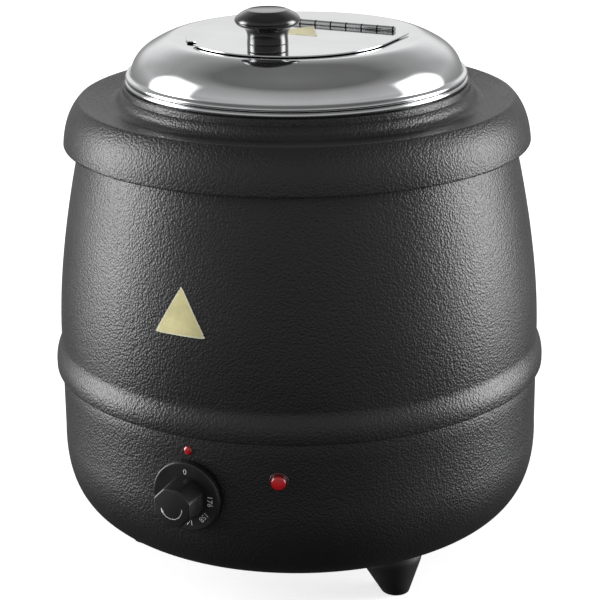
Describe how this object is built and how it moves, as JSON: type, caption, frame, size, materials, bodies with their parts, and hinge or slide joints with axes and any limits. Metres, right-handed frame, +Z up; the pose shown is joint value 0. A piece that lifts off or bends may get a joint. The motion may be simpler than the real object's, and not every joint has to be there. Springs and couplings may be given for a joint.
{
  "type": "soup kettle",
  "caption": "Electric wet-well soup kettle: round black housing on feet, lift-off collar and pot, domed lid with hinged flap and knob, thermostat dial and lamp.",
  "frame": {"origin": "on the floor, on the vertical axis of the pot and housing", "axes": "+Z up along that axis; -Y towards the thermostat dial at the front"},
  "size_m": [0.335, 0.3738, 0.3884],
  "materials": {
    "enamel": "pebble-grained semi-gloss black enamel",
    "zinc": "zinc plated",
    "rubber": "moulded black rubber",
    "stainless": "mill finish stainless",
    "stainless_polished": "mirror-polished stainless",
    "heater_sheath": "heat-darkened sheath",
    "phenolic": "phenolic moulding",
    "control_moulding": "plain moulded plastic",
    "copper": "drawn copper",
    "lamp_red": "clear red moulding",
    "black_plastic": "moulded black plastic",
    "knob_gloss": "polished black phenolic",
    "dial_black": "satin black plastic with white figures",
    "label_yellow": "pale yellow foil, blank",
    "ceramic": "unglazed ceramic",
    "brass": "turned brass",
    "wire_insulation": "silicone sleeve"
  },
  "bodies": {
    "housing": {"upper_shell": "enamel", "lower_shell": "enamel", "base_plate": "zinc", "base_screws": "zinc", "foot_front_right": "rubber", "foot_front_left": "rubber", "foot_rear": "rubber", "foot_bolts": "zinc", "foot_nuts": "zinc", "water_well": "stainless", "well_screws": "zinc", "heater_ring": "heater_sheath", "heater_clamp": "zinc", "heater_nut": "zinc", "thermal_cutout": "phenolic", "cutout_screws": "zinc", "thermostat_body": "control_moulding", "thermostat_bracket": "zinc", "thermostat_screws": "zinc", "thermostat_bulb": "copper", "bulb_clip": "stainless", "lamp_lens": "lamp_red", "lamp_body": "black_plastic", "lamp_nut": "stainless", "pointer_dot": "lamp_red", "body_label": "label_yellow", "terminal_block": "ceramic", "terminal_screw": "zinc", "earth_stud": "brass", "cord_gland": "black_plastic", "gland_cap": "black_plastic", "gland_nut": "black_plastic", "wiring": "wire_insulation"},
    "collar": {"collar": "enamel"},
    "pot": {"pot": "stainless_polished"},
    "lid": {"lid_dome": "stainless_polished", "lid_hinge_leaf": "stainless", "hinge_pin": "stainless"},
    "flap": {"flap_plate": "stainless_polished", "flap_hinge_leaf": "stainless", "lid_knob": "knob_gloss", "knob_screw": "zinc", "knob_washer": "zinc", "flap_label": "label_yellow"},
    "dial": {"dial_knob": "dial_black", "dial_shaft": "stainless"}
  },
  "joints": [
    {"name": "collar_lift", "type": "slide", "parent": "housing", "child": "collar", "axis": [0, 0, 1], "range_m": [0, 0.06]},
    {"name": "pot_lift", "type": "slide", "parent": "collar", "child": "pot", "axis": [0, 0, 1], "range_m": [0, 0.27]},
    {"name": "lid_lift", "type": "slide", "parent": "pot", "child": "lid", "axis": [0, 0, 1], "range_m": [0, 0.12]},
    {"name": "flap_hinge", "type": "hinge", "parent": "lid", "child": "flap", "pos_m": [0.00051, 0.029, 0.3636], "axis": [-0.9998, 0.0175, 0], "range_deg": [0, 110]},
    {"name": "dial_turn", "type": "hinge", "parent": "housing", "child": "dial", "pos_m": [0, -0.16, 0.0985], "axis": [0, 1, 0], "range_deg": [0, 265]}
  ]
}
